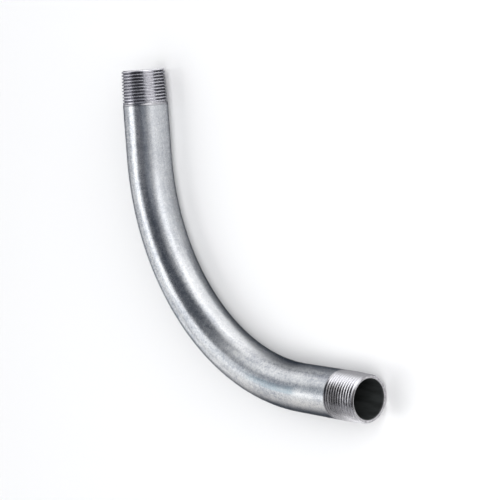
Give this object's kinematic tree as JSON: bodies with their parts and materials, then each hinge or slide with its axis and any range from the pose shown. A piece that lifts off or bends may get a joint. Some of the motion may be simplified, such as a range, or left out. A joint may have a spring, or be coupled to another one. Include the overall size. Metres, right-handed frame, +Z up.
{
  "type": "conduit elbow",
  "caption": "Ninety degree elbow of galvanised steel conduit with a long-radius bend and a tapered pipe thread on each end.",
  "frame": {"origin": "centre of the bounding box's base, on the surface that the elbow lies on", "axes": "+Z up, square to the plane of the bend; +X along one leg and out of its end; +Y along the other leg and out of its end"},
  "size_m": [0.1904, 0.1904, 0.0267],
  "materials": {
    "zinc": "hot-dip galvanised, semi-bright with a fine mottle"
  },
  "bodies": {
    "root": {"elbow": "zinc"}
  },
  "joints": []
}
